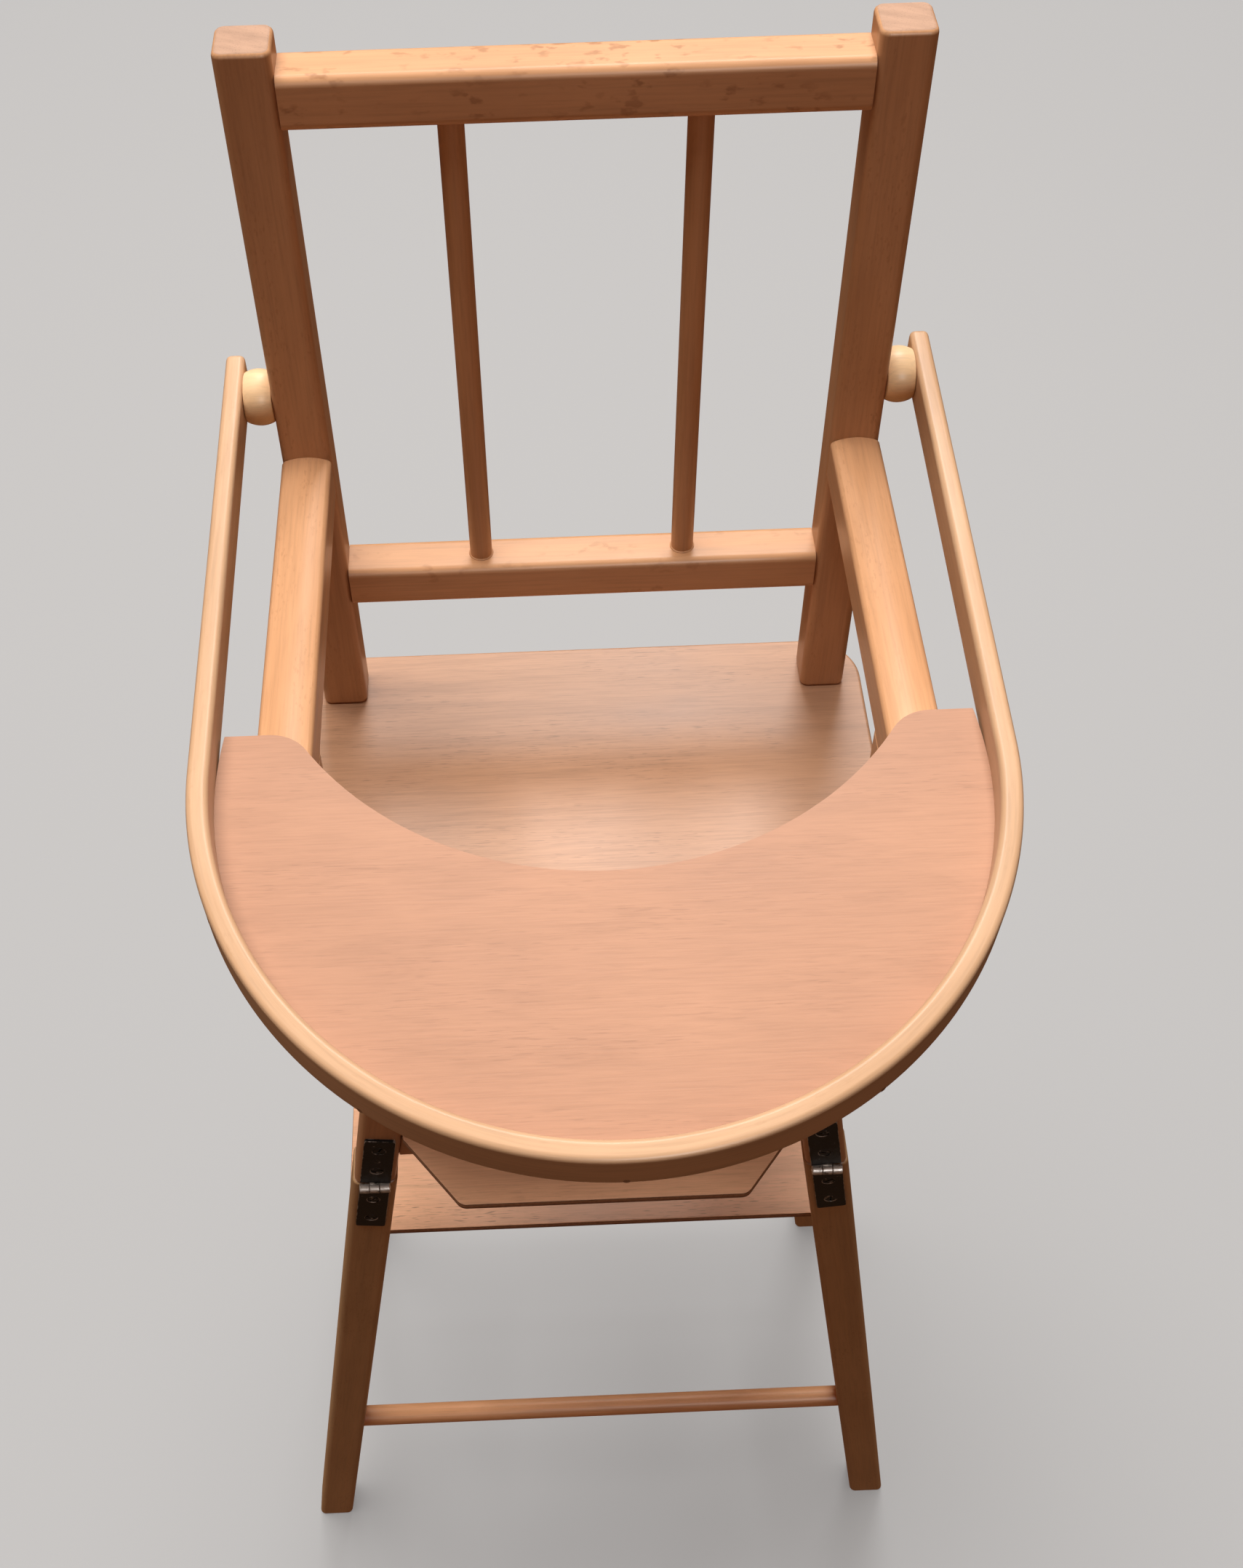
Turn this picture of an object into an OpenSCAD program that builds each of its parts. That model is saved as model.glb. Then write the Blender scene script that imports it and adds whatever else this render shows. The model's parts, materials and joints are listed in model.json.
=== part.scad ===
// Folding doll's high chair of plain beech bars, with a bentwood swing-over tray.
// Millimetres, +Z up, the front faces -Y, and the origin is on the floor under the middle.

/* [Back] */
// Centre distance between the two back posts
post_spacing = 140; // [120:1:160]
// Thickness of the posts, rails, arms and upper legs
bar = 12.6; // [11:0.2:15]
// Radius of the bars' long edges
bar_round = 2; // [1:0.5:3]
// Height of the post tops above the floor
post_top = 627; // [610:1:650]
// Distance from the post tops down to the top rail
top_rail_drop = 6; // [0:1:20]
// Height of the upper face of the lower back rail
low_rail_top = 476.5; // [455:0.5:500]
// Diameter of the two back spindles
spindle_d = 6; // [5:0.5:8]
// Centre distance between the two spindles
spindle_spacing = 55; // [40:1:80]

/* [Seat] */
// Height of the seat's upper face
seat_top = 423.3; // [410:0.1:435]
// Width of the seat board
seat_w = 164; // [158:1:168]
// Thickness of the seat board
seat_t = 4; // [3:0.5:6]
// Corner radius of the seat board
seat_r = 15; // [5:1:20]
// How far the seat reaches behind the posts' front faces
seat_back = 19; // [15:1:22]
// How far the seat and the arms reach ahead of the posts' front faces
arm_reach = 105; // [100:1:110]
// Height of the crown of the arms
arm_top = 518; // [510:0.5:520]

/* [Legs and hinges] */
// Height of the plane where the stand folds away from the chair
fold_z = 312.5; // [305:0.5:320]
// Distance from the posts' front faces to the front legs' front faces
leg_reach = 98.3; // [95:0.1:102]
// Half the leg spacing at the fold
leg_x = 69.5; // [66:0.5:72]
// Half the spacing of the front feet
front_foot_x = 116.6; // [105:0.1:120]
// Half the spacing of the rear feet
rear_foot_x = 107; // [100:1:112]
// How far the rear feet stand behind the upper rear legs
rear_kick = 28; // [20:1:34]
// Thickness of the stand's legs
stand_bar = 13.8; // [12:0.2:15]
// Width of a hinge leaf
leaf_w = 9.3; // [8:0.1:10]
// Length of a hinge leaf from the pin's centre
leaf_l = 28; // [24:0.5:30]

/* [Boards and bars] */
// Height of the footrest's upper face
footrest_top = 340; // [334:1:346]
// How far the footrest reaches ahead of the posts' front faces
footrest_reach = 120.5; // [112:0.5:126]
// Half width of the footrest's straight front edge
footrest_half = 41.5; // [35:0.5:50]
// Height of the shelf's upper face
shelf_top = 250; // [240:1:260]
// Half width of the shelf board
shelf_half = 85; // [83:0.5:88]
// Diameter of the stand's round bars
round_bar_d = 7.8; // [6:0.2:9]
// Height of the front and rear bars
bar_z = 98; // [80:1:120]

/* [Tray] */
// Height of the tray's pivots
pivot_z = 532.6; // [530:0.1:538]
// Outer width of the bent rim
rim_w = 176.4; // [174:0.2:182]
// Thickness of the bent rim
rim_t = 4.8; // [3:0.2:5.6]
// Height of the bent rim
rim_h = 11; // [8:0.5:12]
// Length of the rim's straight sides ahead of the pivots
rim_straight = 117; // [105:0.5:120]
// How far the rounded front reaches beyond the straight sides
rim_nose = 91.7; // [85:0.1:105]
// Distance from the pivots to the board's rear horns
horn_reach = 102.8; // [102:0.2:110]
// Radius of the hollow in the board's rear edge
hollow_r = 78; // [70:1:85]
// Depth of the hollow in the board's rear edge
hollow_depth = 38.2; // [30:0.2:42]
// Diameter of the wooden beads between the rim and the posts
bead_d = 14; // [12:0.5:16]

/* [Hidden] */
$fn = 48;

left = -1;
right = 1;
depth_centre = 81.8;
post_x = post_spacing / 2;
post_y = depth_centre + bar / 2;
leg_front_y = depth_centre - leg_reach;
seat_under = seat_top - seat_t;
arm_front_y = depth_centre - arm_reach;
rear_leg_y = depth_centre + bar / 2;

arm_crown_r = 14;
arm_h = 13;
peg_depth = 4;
snug = 0.02;
running = 0.05;
fold_gap = 0.15;

splay = (front_foot_x - leg_x) / fold_z;
rear_splay = (rear_foot_x - leg_x) / fold_z;
rear_rake = rear_kick / fold_z;
splay_deg = atan(splay);

board_t = 3;
batten = 10;
bearer_nose = 1.5;                  // what is left of the bearer's front end
side_bar_z = bar_z + 24;
apron_h = 16;
apron_t = 8;

leaf_t = 1;
knuckle_r = 1.6;
pin_r = 0.6;
pin_offset = knuckle_r + 0.1;
pin_y = leg_front_y - pin_offset;
knuckle_gap = 0.1;
knuckle_l = (leaf_w - 2 * knuckle_gap) / 3;
screw_r = 1;
screw_head_r = 1.9;
screw_l = 9;
leaf_gap = knuckle_r + 0.9;
web_l = leaf_gap + 0.8;
leaf_screws = [9.5, 22];

rim_half = rim_w / 2;
rim_tail = 10;
bead_outer = rim_half - rim_t - 0.1;
pivot_screw_r = 1.2;
pivot_head_r = 3;
pivot_head_t = 1.6;
pivot_head_x = rim_half - 0.05;
drop = pivot_z - arm_top;
run = depth_centre + bar / 2 - arm_front_y;
tray_tilt = atan2(drop, run) - asin((rim_h / 2 + 0.15) / norm([drop, run]));
hollow_y = -(horn_reach + hollow_depth) + hollow_r;
rim_steps = 40;
brad_r = 0.6;
brad_l = 9;

function leg_mid_x(z) = leg_x + (fold_z - z) * splay;
function rear_mid_x(z) = leg_x + (fold_z - z) * rear_splay;
function rear_mid_y(z) = rear_leg_y + (fold_z - z) * rear_rake;
function rim_point(a, half, nose) = [half * cos(a), -rim_straight - nose * sin(a)];
function rim_arc(half, nose) = [for (i = [0:rim_steps]) rim_point(180 * i / rim_steps, half, nose)];

// A rectangle with rounded corners, centred
module round_rect(w, h, r) {
    square([w - 2 * r, h], center = true);
    square([w, h - 2 * r], center = true);
    for (x = [-1, 1], y = [-1, 1])
        translate([x * (w / 2 - r), y * (h / 2 - r)]) circle(r);
}

// An upright square bar from z0 to z1
module upright(x, y, w, z0, z1) {
    translate([x, y, z0]) linear_extrude(z1 - z0) round_rect(w, w, bar_round);
}

// A square bar that leans, with its middle line through a point at the fold, cut level
module leaning_leg(x, y, lean_x, lean_y, w, z0, z1) {
    spare = 30;
    len = norm([lean_x, lean_y, 1]);
    intersection() {
        translate([x, y, fold_z])
            rotate([asin(lean_y / len), atan(-lean_x), 0])
            translate([0, 0, z0 - fold_z - spare])
            linear_extrude((z1 - z0) + 2 * spare) round_rect(w, w, bar_round);
        translate([x - 100, y - 100, z0]) cube([200, 200, z1 - z0]);
    }
}

module along_x(x0, x1) {
    translate([x0, 0, 0]) rotate([90, 0, 90]) linear_extrude(x1 - x0) children();
}

// A board on edge between two splayed legs, with its ends cut to their lean
module slanted_board(y, t, z0, z1, half0, half1) {
    translate([0, y + t / 2, 0]) rotate([90, 0, 0]) linear_extrude(t)
        polygon([[-half0, z0], [half0, z0], [half1, z1], [-half1, z1]]);
}

module back_post(side) {
    color("sienna") difference() {
        upright(side * post_x, post_y, bar, seat_top, post_top);
        pivot_hole(side, pivot_screw_r + snug);
    }
}

module pivot_hole(side, r) {
    translate([side * (post_x - 3), post_y, pivot_z]) rotate([0, side * 90, 0]) cylinder(60, r, r);
}

module back_rail(z_top) {
    reach = post_x - bar / 2;
    color("sienna") difference() {
        translate([0, post_y, z_top - bar / 2]) along_x(-reach, reach)
            round_rect(bar, bar, bar_round);
        spindle_holes();
    }
}

module spindle_holes() {
    for (s = [left, right]) translate([s * spindle_spacing / 2, post_y, spindle_low()])
        cylinder(spindle_high() - spindle_low(), spindle_d / 2 + snug, spindle_d / 2 + snug);
}

function spindle_low() = low_rail_top - peg_depth;
function spindle_high() = post_top - top_rail_drop - bar + peg_depth;

module spindle(side) {
    color("peru") translate([side * spindle_spacing / 2, post_y, spindle_low() + 0.1])
        cylinder(spindle_high() - spindle_low() - 0.2, spindle_d / 2, spindle_d / 2);
}

module seat_board() {
    len = seat_back + arm_reach;
    color("burlywood") translate([0, depth_centre + seat_back - len / 2, seat_under])
        linear_extrude(seat_t) round_rect(seat_w, len, seat_r);
}

module arm(side) {
    color("sandybrown") translate([side * post_x, depth_centre, arm_top - arm_h / 2])
        rotate([90, 0, 0]) linear_extrude(arm_reach) intersection() {
            round_rect(bar, arm_h, bar_round);
            translate([0, arm_h / 2 - arm_crown_r]) circle(arm_crown_r);
        }
}

module arm_support(side) {
    color("sienna") upright(side * post_x, leg_front_y + bar / 2, bar, seat_top, arm_top - arm_h);
}

module front_upper_leg(side) {
    color("sienna") difference() {
        leaning_leg(side * leg_x, leg_front_y + bar / 2, side * splay, 0, bar,
                    fold_z + fold_gap, seat_under);
        leaf_screw_bores(side, 1);
    }
}

module rear_upper_leg(side) {
    color("sienna") leaning_leg(side * leg_x, rear_leg_y, side * rear_splay, rear_rake, bar,
                                fold_z + fold_gap, seat_under);
}

module front_stand_leg(side) {
    y = leg_front_y + stand_bar / 2;
    color("saddlebrown") difference() {
        leaning_leg(side * leg_x, y, side * splay, 0, stand_bar, 0, fold_z - fold_gap);
        round_bar(bar_z, y, leg_mid_x(bar_z), snug);
        side_bar_shape(side, snug);
        leaf_screw_bores(side, -1);
    }
}

module rear_stand_leg(side) {
    color("saddlebrown") difference() {
        leaning_leg(side * leg_x, rear_leg_y, side * rear_splay, rear_rake, stand_bar,
                    0, fold_z - fold_gap);
        round_bar(bar_z, rear_mid_y(bar_z), rear_mid_x(bar_z), snug);
        side_bar_shape(side, snug);
    }
}

module front_apron() {
    z0 = seat_under - apron_h;
    edge = bar / 2 / cos(splay_deg);
    color("sienna") slanted_board(leg_front_y + bar / 2, apron_t, z0, seat_under,
                                  leg_mid_x(z0) - edge, leg_mid_x(seat_under) - edge);
}

module rear_apron() {
    z0 = seat_under - apron_h;
    mid = (z0 + seat_under) / 2;
    edge = bar / 2 / cos(atan(rear_splay));
    color("sienna") slanted_board(rear_mid_y(mid), apron_t, z0, seat_under,
                                  rear_mid_x(z0) - edge, rear_mid_x(seat_under) - edge);
}

module side_apron(side) {
    z0 = seat_under - apron_h;
    x = side * leg_mid_x((z0 + seat_under) / 2);
    y0 = leg_front_y + bar;
    y1 = rear_mid_y(seat_under) - bar / 2;
    y2 = rear_mid_y(z0) - bar / 2;
    color("sienna") translate([x - apron_t / 2, 0, 0]) rotate([90, 0, 90]) linear_extrude(apron_t)
        polygon([[y0, z0], [y2 - 0.1, z0], [y1 - 0.1, seat_under], [y0, seat_under]]);
}

module footrest_board() {
    y_back = leg_front_y + bar;
    y_front = depth_centre - footrest_reach;
    half = leg_mid_x(footrest_top) - bar / 2 / cos(splay_deg) - 0.1;
    color("burlywood") translate([0, 0, footrest_top - board_t]) linear_extrude(board_t)
        polygon([[-half, y_back], [-half, leg_front_y], [-footrest_half, y_front],
                 [footrest_half, y_front], [half, leg_front_y], [half, y_back]]);
}

module footrest_batten() {
    z1 = footrest_top - board_t;
    z0 = z1 - batten;
    edge = bar / 2 / cos(splay_deg);
    color("sienna") slanted_board(leg_front_y + bar / 2, batten, z0, z1,
                                  leg_mid_x(z0) - edge, leg_mid_x(z1) - edge);
}

module shelf_board() {
    y0 = leg_front_y + stand_bar;
    y1 = rear_mid_y(shelf_top) - stand_bar / 2 - 0.5;
    color("burlywood") translate([0, (y0 + y1) / 2, shelf_top - board_t])
        linear_extrude(board_t) round_rect(2 * shelf_half, y1 - y0, 1);
}

// The lower front corner is cut away, up to a short nose against the front leg
module shelf_bearer(side) {
    z1 = shelf_top - board_t;
    z0 = z1 - batten;
    y0 = leg_front_y + stand_bar;
    y1 = rear_mid_y(z1) - stand_bar / 2;
    y2 = rear_mid_y(z0) - stand_bar / 2;
    color("sienna") translate([side * rear_mid_x(z0) - apron_t / 2, 0, 0])
        rotate([90, 0, 90]) linear_extrude(apron_t)
        polygon([[y0 + batten - bearer_nose, z0], [y2 - 0.1, z0], [y1 - 0.1, z1], [y0, z1],
                 [y0, z1 - bearer_nose]]);
}

module round_bar(z, y, half, extra) {
    translate([0, y, z]) along_x(-half, half) circle(round_bar_d / 2 + extra);
}

module front_bar() {
    color("peru") round_bar(bar_z, leg_front_y + stand_bar / 2, leg_mid_x(bar_z) - 0.1, 0);
}

module rear_bar() {
    color("peru") round_bar(bar_z, rear_mid_y(bar_z), rear_mid_x(bar_z) - 0.1, 0);
}

// A side bar runs from the front leg to the rear leg, above the front and rear bars
module side_bar_shape(side, extra) {
    front = [side * leg_mid_x(side_bar_z), leg_front_y + stand_bar / 2, side_bar_z];
    rear = [side * rear_mid_x(side_bar_z), rear_mid_y(side_bar_z), side_bar_z];
    reach = rear - front;
    end = extra > 0 ? 0 : 0.1;
    r = round_bar_d / 2 + extra;
    translate(front) rotate([0, 0, atan2(reach[1], reach[0])]) rotate([0, 90, 0])
        translate([0, 0, end]) cylinder(norm(reach) - 2 * end, r, r);
}

module side_bar(side) {
    color("peru") side_bar_shape(side, 0);
}

module tray_bead(side) {
    inner = post_x + bar / 2;
    color("wheat") difference() {
        translate([side * inner, post_y, pivot_z]) rotate([0, side * 90, 0]) rotate_extrude()
            intersection() {
                square([bead_d / 2, bead_outer - inner]);
                translate([0, (bead_outer - inner) / 2]) circle(bead_d / 2);
            }
        pivot_hole(side, pivot_screw_r + snug);
    }
}

// The countersunk head of a pivot screw, just below the rim's outer face
module pivot_head(side, extra) {
    translate([side * (pivot_head_x - pivot_head_t), post_y, pivot_z]) rotate([0, side * 90, 0])
        cylinder(pivot_head_t, pivot_screw_r + extra, pivot_head_r + extra);
}

module tray_pivot_screws() {
    color("dimgray") for (s = [left, right]) {
        translate([s * (post_x - 2), post_y, pivot_z]) rotate([0, s * 90, 0])
            cylinder(pivot_head_x - post_x + 2 - pivot_head_t + 0.1, pivot_screw_r, pivot_screw_r);
        pivot_head(s, 0);
    }
}

// A hinge leaf on the legs' front faces: up is 1 for the chair's leaf and -1 for the stand's
module hinge_leaf(side, up) {
    color("darkslategray") difference() {
        union() {
            translate([side * leg_x, leg_front_y, fold_z]) rotate([0, -side * splay_deg, 0])
                translate([-leaf_w / 2, -leaf_t, up > 0 ? leaf_gap : -leaf_l])
                cube([leaf_w, leaf_t, leaf_l - leaf_gap]);
            for (k = up > 0 ? [0] : [-1, 1]) knuckle(side, k, up);
        }
        for (d = leaf_screws) leaf_screw_at(side, up * d)
            cylinder(leaf_t, screw_head_r + snug, screw_r + snug);
        translate([side * leg_x, pin_y, fold_z]) along_x(-leaf_w, leaf_w)
            circle(pin_r + (up > 0 ? 0 : running));
    }
}

// One barrel of a hinge and the web that joins it to its leaf
module knuckle(side, k, up) {
    x0 = side * leg_x + k * (knuckle_l + knuckle_gap) - knuckle_l / 2;
    translate([0, pin_y, fold_z]) along_x(x0, x0 + knuckle_l) circle(knuckle_r);
    translate([x0, leg_front_y - leaf_t, up > 0 ? fold_z : fold_z - web_l])
        cube([knuckle_l, leaf_t - 0.1, web_l]);
}

module leaf_screw_at(side, d) {
    translate([side * leg_x, leg_front_y, fold_z]) rotate([0, -side * splay_deg, 0])
        translate([0, -leaf_t, d]) rotate([-90, 0, 0]) children();
}

module leaf_screw_bores(side, up) {
    for (d = leaf_screws) leaf_screw_at(side, up * d)
        cylinder(screw_l + 0.2, screw_r + snug, screw_r + snug);
}

module leaf_screw() {
    cylinder(leaf_t, screw_head_r, screw_r);
    cylinder(screw_l, screw_r, screw_r);
}

module hinge_screws(up) {
    color("dimgray") for (s = [left, right], d = leaf_screws) leaf_screw_at(s, up * d) leaf_screw();
}

module hinge_pins() {
    color("dimgray") for (s = [left, right])
        translate([0, pin_y, fold_z]) along_x(s * leg_x - leaf_w / 2, s * leg_x + leaf_w / 2)
        circle(pin_r);
}

// The tray's own plane: the pivots are at the origin and the front is towards -Y
module tray_plane() {
    translate([0, post_y, pivot_z]) rotate([tray_tilt, 0, 0]) children();
}

module tray_rim() {
    inner = rim_half - rim_t;
    color("navajowhite") difference() {
        tray_plane() translate([0, 0, -rim_h / 2]) linear_extrude(rim_h) difference() {
            polygon(concat([[-rim_half, rim_tail]], [[rim_half, rim_tail]],
                           rim_arc(rim_half, rim_nose)));
            polygon(concat([[-inner, rim_tail + 1]], [[inner, rim_tail + 1]],
                           rim_arc(inner, rim_nose - rim_t)));
        }
        for (s = [left, right]) {
            pivot_hole(s, pivot_screw_r + running);
            pivot_head(s, running);
            translate([s * pivot_head_x, post_y, pivot_z]) rotate([0, s * 90, 0])
                cylinder(1, pivot_head_r + running, pivot_head_r + running);
        }
        brads(snug);
    }
}

module tray_board() {
    inner = rim_half - rim_t;
    color("burlywood") difference() {
        tray_plane() translate([0, 0, -rim_h / 2]) linear_extrude(board_t) difference() {
            polygon(concat([[-inner, -horn_reach]], [[inner, -horn_reach]],
                           rim_arc(inner, rim_nose - rim_t)));
            translate([0, hollow_y]) circle(hollow_r, $fn = 96);
        }
        brads(snug);
    }
}

// Brads driven through the rim into the board's edge
module brads(extra) {
    tray_plane() for (a = [20, 55, 90, 125, 160])
        translate(concat(rim_point(a, rim_half - brad_l + 0.2, rim_nose - brad_l + 0.2),
                         [-rim_h / 2 + board_t / 2]))
        rotate([0, 0, -a]) rotate([0, 90, 0])
        translate([0, 0, -extra]) cylinder(brad_l + 2 * extra, brad_r + extra, brad_r + extra);
}

module tray_brads() {
    color("dimgray") brads(0);
}

back_post(left);  // left_back_post
back_post(right);  // right_back_post
back_rail(post_top - top_rail_drop);  // top_rail
back_rail(low_rail_top);  // lower_back_rail
spindle(left);  // left_spindle
spindle(right);  // right_spindle
seat_board();
arm(left);  // left_arm
arm(right);  // right_arm
arm_support(left);  // left_arm_support
arm_support(right);  // right_arm_support
front_upper_leg(left);  // left_front_upper_leg
front_upper_leg(right);  // right_front_upper_leg
rear_upper_leg(left);  // left_rear_upper_leg
rear_upper_leg(right);  // right_rear_upper_leg
front_apron();
rear_apron();
side_apron(left);  // left_apron
side_apron(right);  // right_apron
footrest_board();
footrest_batten();
tray_bead(left);  // left_tray_bead
tray_bead(right);  // right_tray_bead
tray_pivot_screws();
hinge_leaf(left, 1);  // left_upper_hinge_leaf
hinge_leaf(right, 1);  // right_upper_hinge_leaf
hinge_pins();
hinge_screws(1);  // upper_hinge_screws
front_stand_leg(left);  // left_front_stand_leg
front_stand_leg(right);  // right_front_stand_leg
rear_stand_leg(left);  // left_rear_stand_leg
rear_stand_leg(right);  // right_rear_stand_leg
shelf_board();
shelf_bearer(left);  // left_shelf_bearer
shelf_bearer(right);  // right_shelf_bearer
front_bar();
rear_bar();
side_bar(left);  // left_side_bar
side_bar(right);  // right_side_bar
hinge_leaf(left, -1);  // left_lower_hinge_leaf
hinge_leaf(right, -1);  // right_lower_hinge_leaf
hinge_screws(-1);  // lower_hinge_screws
tray_rim();
tray_board();
tray_brads();
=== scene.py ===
import json
import math

import bmesh
import bpy
from mathutils import Matrix, Vector


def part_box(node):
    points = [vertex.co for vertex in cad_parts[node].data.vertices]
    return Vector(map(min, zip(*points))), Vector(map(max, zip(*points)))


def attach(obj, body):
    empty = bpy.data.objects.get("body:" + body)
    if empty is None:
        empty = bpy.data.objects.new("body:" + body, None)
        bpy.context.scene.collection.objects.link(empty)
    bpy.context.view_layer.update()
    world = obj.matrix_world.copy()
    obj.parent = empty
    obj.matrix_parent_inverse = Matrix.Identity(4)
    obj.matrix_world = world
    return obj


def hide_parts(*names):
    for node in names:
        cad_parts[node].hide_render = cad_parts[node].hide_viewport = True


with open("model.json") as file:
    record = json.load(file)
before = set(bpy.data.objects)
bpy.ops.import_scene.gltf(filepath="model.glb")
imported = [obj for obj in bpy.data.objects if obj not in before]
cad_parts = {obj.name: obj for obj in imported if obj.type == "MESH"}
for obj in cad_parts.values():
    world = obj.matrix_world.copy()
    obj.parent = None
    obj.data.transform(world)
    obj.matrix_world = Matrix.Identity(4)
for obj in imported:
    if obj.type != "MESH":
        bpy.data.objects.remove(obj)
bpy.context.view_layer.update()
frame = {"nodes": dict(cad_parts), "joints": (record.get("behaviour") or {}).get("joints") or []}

# ---- Viewpoint ----
# A hand-held eye in front of the tray and well above it, a touch left of the middle,
# that looks steeply down along the chair and leans a little.
EYE = Vector((-0.01225, -0.27761, 0.82684))
EYE_PITCH = math.radians(51.057)
EYE_YAW = math.radians(1.005)
EYE_ROLL = math.radians(-1.446)
ahead = Vector((math.sin(EYE_YAW) * math.cos(EYE_PITCH),
                math.cos(EYE_YAW) * math.cos(EYE_PITCH), -math.sin(EYE_PITCH)))
level = Vector((math.cos(EYE_YAW), -math.sin(EYE_YAW), 0))
over = level.cross(ahead)
eye_right = level * math.cos(EYE_ROLL) + over * math.sin(EYE_ROLL)
eye_up = over * math.cos(EYE_ROLL) - level * math.sin(EYE_ROLL)

bpy.ops.object.camera_add(location=EYE)
camera = bpy.context.object
camera.matrix_world = (Matrix.Translation(EYE)
                       @ Matrix((eye_right, eye_up, -ahead)).transposed().to_4x4())
camera.data.lens = 42.10
camera.data.sensor_width = 36
camera.data.shift_x = 0.0352
camera.data.clip_start = 0.01
bpy.context.scene.camera = camera
bpy.context.scene.view_settings.view_transform = "Standard"

# ---- Floor and light ----
# A plain pale floor that fades into pale surroundings, under a wide soft ceiling light. A
# window light behind gives the lacquer its shine, a light in front gives nothing but
# glints, and a weak warm glow from all round leaves the fronts deep.
FLOOR_SIZE = 12
FLOOR_COLOUR = (0.27, 0.275, 0.28, 1)
FLOOR_GLOW = (0.20, 0.20, 0.20, 1)
SKY_SEEN = (0.60, 0.60, 0.60, 1)
FADE_REACH = 5.8
CEILING_PLACE = Vector((-0.42, 0.42, 4.0))
CEILING_SIZE = 3.0
CEILING_POWER = 190
WINDOW_PLACE = Vector((0.12, 1.3, 2.15))
WINDOW_SIZE = 0.8
WINDOW_POWER = 21
GLINT_PLACE = Vector((0.35, -1.7, 1.5))
GLINT_SIZE = 0.6
GLINT_POWER = 14
CHAIR_MIDDLE = Vector((0, 0, 0.4))
GLOW = (0.133, 0.064, 0.033, 1)


def wire(tree, kind, *inputs, **settings):
    """One node, with its settings and with values or links on its sockets"""
    made = tree.nodes.new(kind)
    for key_name, value in settings.items():
        setattr(made, key_name, value)
    for socket, value in inputs:
        if isinstance(value, bpy.types.NodeSocket):
            tree.links.new(value, made.inputs[socket])
        else:
            made.inputs[socket].default_value = value
    return made


def stepped(tree, factor, *stops):
    """A colour ramp through the given stops"""
    ramp = wire(tree, "ShaderNodeValToRGB", ("Fac", factor))
    marks = ramp.color_ramp.elements
    marks[0].position, marks[0].color = stops[0]
    marks[1].position, marks[1].color = stops[-1]
    for position, colour in stops[1:-1]:
        marks.new(position).color = colour
    return ramp.outputs["Color"]


def grey(value):
    return (value, value, value, 1)


def new_finish(name):
    """A material, its node tree and its surface shader"""
    finish = bpy.data.materials.new(name)
    finish.use_nodes = True
    return finish, finish.node_tree, finish.node_tree.nodes["Principled BSDF"]


bpy.ops.mesh.primitive_plane_add(size=FLOOR_SIZE, location=(0, 0, 0))
floor = bpy.context.object
floor.name = "floor"
floor.visible_diffuse = False
floor.visible_glossy = False
floor_paint, tree, shader = new_finish("floor_paint")
floor_place = wire(tree, "ShaderNodeTexCoord").outputs["Object"]
floor_reach = wire(tree, "ShaderNodeMapping", ("Vector", floor_place),
                   ("Scale", (1 / FADE_REACH, 1 / FADE_REACH, 1 / FADE_REACH)))
nearness = wire(tree, "ShaderNodeTexGradient", ("Vector", floor_reach.outputs[0]),
                gradient_type="SPHERICAL").outputs["Fac"]
own_colour = stepped(tree, nearness, (0.0, grey(0.0)), (0.45, grey(0.05)), (0.80, FLOOR_COLOUR))
own_glow = stepped(tree, nearness, (0.0, SKY_SEEN), (0.45, grey(0.55)), (0.80, FLOOR_GLOW))
tree.links.new(own_colour, shader.inputs["Base Color"])
tree.links.new(own_glow, shader.inputs["Emission Color"])
shader.inputs["Roughness"].default_value = 0.9
shader.inputs["Emission Strength"].default_value = 1.0
shader.inputs["Specular IOR Level"].default_value = 0.0
floor.data.materials.append(floor_paint)


def hang_light(name, place, size, power, colour):
    """A round soft light that faces the chair"""
    bpy.ops.object.light_add(type="AREA", location=place)
    lamp = bpy.context.object
    lamp.name = name
    lamp.data.shape = "DISK"
    lamp.data.size = size
    lamp.data.energy = power
    lamp.data.color = colour
    lamp.rotation_euler = (CHAIR_MIDDLE - place).to_track_quat("-Z", "Y").to_euler()
    return lamp


ceiling = hang_light("ceiling", CEILING_PLACE, CEILING_SIZE, CEILING_POWER, (1, 0.97, 0.93))
ceiling.visible_glossy = False
hang_light("window", WINDOW_PLACE, WINDOW_SIZE, WINDOW_POWER, (1, 0.985, 0.97))
glint = hang_light("glint", GLINT_PLACE, GLINT_SIZE, GLINT_POWER, (1, 0.98, 0.96))
glint.visible_diffuse = False

room = bpy.data.worlds.new("room")
room.use_nodes = True
bpy.context.scene.world = room
glow = room.node_tree.nodes["Background"]
glow.inputs["Color"].default_value = GLOW
seen = wire(room.node_tree, "ShaderNodeBackground", ("Color", SKY_SEEN))
which_ray = wire(room.node_tree, "ShaderNodeLightPath")
sky_mix = wire(room.node_tree, "ShaderNodeMixShader", (0, which_ray.outputs["Is Camera Ray"]),
               (1, glow.outputs[0]), (2, seen.outputs[0]))
room.node_tree.links.new(sky_mix.outputs[0],
                         room.node_tree.nodes["World Output"].inputs["Surface"])

# ---- Back posts ----
# Two square posts of steamed beech that stand on the seat board. The long edges are
# routed round and both ends are sanded soft, and the whole is lacquered.
X, Y, Z = 0, 1, 2
BAR = 0.0126
BAR_ROUND = 0.0022
ROUND_STEPS = 5
END_SOFT = 0.0012
LACQUER = 0.25


def settle(name):
    """The active object gets its name, and its place goes into its mesh"""
    made = bpy.context.object
    made.name = name
    made.data.name = name
    bpy.ops.object.transform_apply(location=True, rotation=True, scale=True)
    return made


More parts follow.
